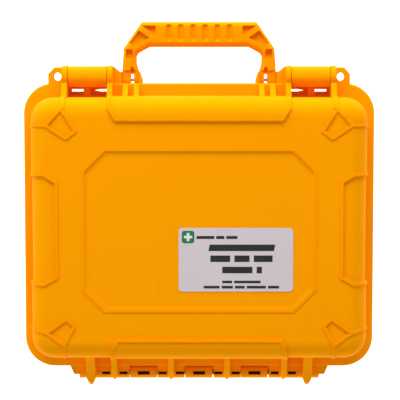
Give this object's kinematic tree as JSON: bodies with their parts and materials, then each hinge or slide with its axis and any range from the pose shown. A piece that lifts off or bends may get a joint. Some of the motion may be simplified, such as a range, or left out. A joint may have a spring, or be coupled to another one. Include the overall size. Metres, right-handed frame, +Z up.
{
  "type": "first aid kit",
  "caption": "Hard waterproof first aid case with hinged lid, draw latches, folding carry handle and packed supplies",
  "frame": {"origin": "middle of the base's flat underside, on which the case lies", "axes": "+Z up out of the lid, -Y towards the latches and handle, +Y towards the hinge, +X across the width"},
  "size_m": [0.27, 0.2818, 0.1248],
  "materials": {
    "case_plastic": "moulded satin, fine grain",
    "steel_pin": "drawn stainless pin",
    "seal_rubber": "soft black seal",
    "vent_plastic": "moulded black",
    "label_vinyl": "semi-gloss printed film",
    "carton": "printed folding carton",
    "pack_film": "sealed film pouch",
    "glove_film": "clear film bag",
    "foil_film": "metallised film",
    "bottle_plastic": "translucent bottle",
    "cap_plastic": "ribbed screw cap",
    "gauze": "wound gauze",
    "tape": "wound cloth tape",
    "sterile_paper": "sealed paper packet",
    "booklet_paper": "stapled booklet",
    "instrument_steel": "satin steel",
    "loop_plastic": "moulded finger loop"
  },
  "bodies": {
    "base": {"base_shell": "case_plastic", "hinge_pin": "steel_pin", "handle_left_pin": "steel_pin", "handle_right_pin": "steel_pin", "vent_body": "vent_plastic", "vent_seal": "seal_rubber", "vent_cap": "vent_plastic", "vent_nut": "vent_plastic", "bandage_box": "carton", "gauze_pad_box": "carton", "wipes_box": "carton", "ointment_box": "carton", "burn_gel_box": "carton", "cold_pack_lower": "pack_film", "cold_pack_upper": "pack_film", "glove_bag": "glove_film", "rescue_blanket_packet": "foil_film", "eyewash_bottle": "bottle_plastic", "eyewash_cap": "cap_plastic", "gauze_roll": "gauze", "elastic_bandage_roll": "gauze", "tape_roll_lower": "tape", "tape_roll_upper": "tape", "triangular_bandage_packet": "sterile_paper", "trauma_pad_lower": "sterile_paper", "trauma_pad_upper": "sterile_paper", "guide_booklet": "booklet_paper", "tweezers": "instrument_steel", "scissors_lower_blade": "instrument_steel", "scissors_lower_loop": "loop_plastic", "scissors_rivet": "instrument_steel"},
    "lid": {"lid_shell": "case_plastic", "lid_gasket": "seal_rubber", "latch_left_pin": "steel_pin", "latch_right_pin": "steel_pin", "lid_label": "label_vinyl"},
    "latch_left": {"latch_left_lever": "case_plastic"},
    "latch_right": {"latch_right_lever": "case_plastic"},
    "handle": {"handle": "case_plastic"},
    "scissors_upper": {"scissors_upper_blade": "instrument_steel", "scissors_upper_loop": "loop_plastic"}
  },
  "joints": [
    {"name": "lid_hinge", "type": "hinge", "parent": "base", "child": "lid", "pos_m": [0, 0.1157, 0.084], "axis": [-1, 0, 0], "range_deg": [0, 105]},
    {"name": "latch_left_pivot", "type": "hinge", "parent": "lid", "child": "latch_left", "pos_m": [0.0853, -0.1151, 0.094], "axis": [-1, 0, 0], "range_deg": [0, 110]},
    {"name": "latch_right_pivot", "type": "hinge", "parent": "lid", "child": "latch_right", "pos_m": [-0.0853, -0.1151, 0.094], "axis": [-1, 0, 0], "range_deg": [0, 110]},
    {"name": "handle_pivot", "type": "hinge", "parent": "base", "child": "handle", "pos_m": [0, -0.1124, 0.072], "axis": [1, 0, 0], "range_deg": [0, 90]},
    {"name": "scissors_pivot", "type": "hinge", "parent": "base", "child": "scissors_upper", "pos_m": [0.006, 0.048, 0.07], "axis": [0, 0, -1], "range_deg": [0, 25]}
  ]
}
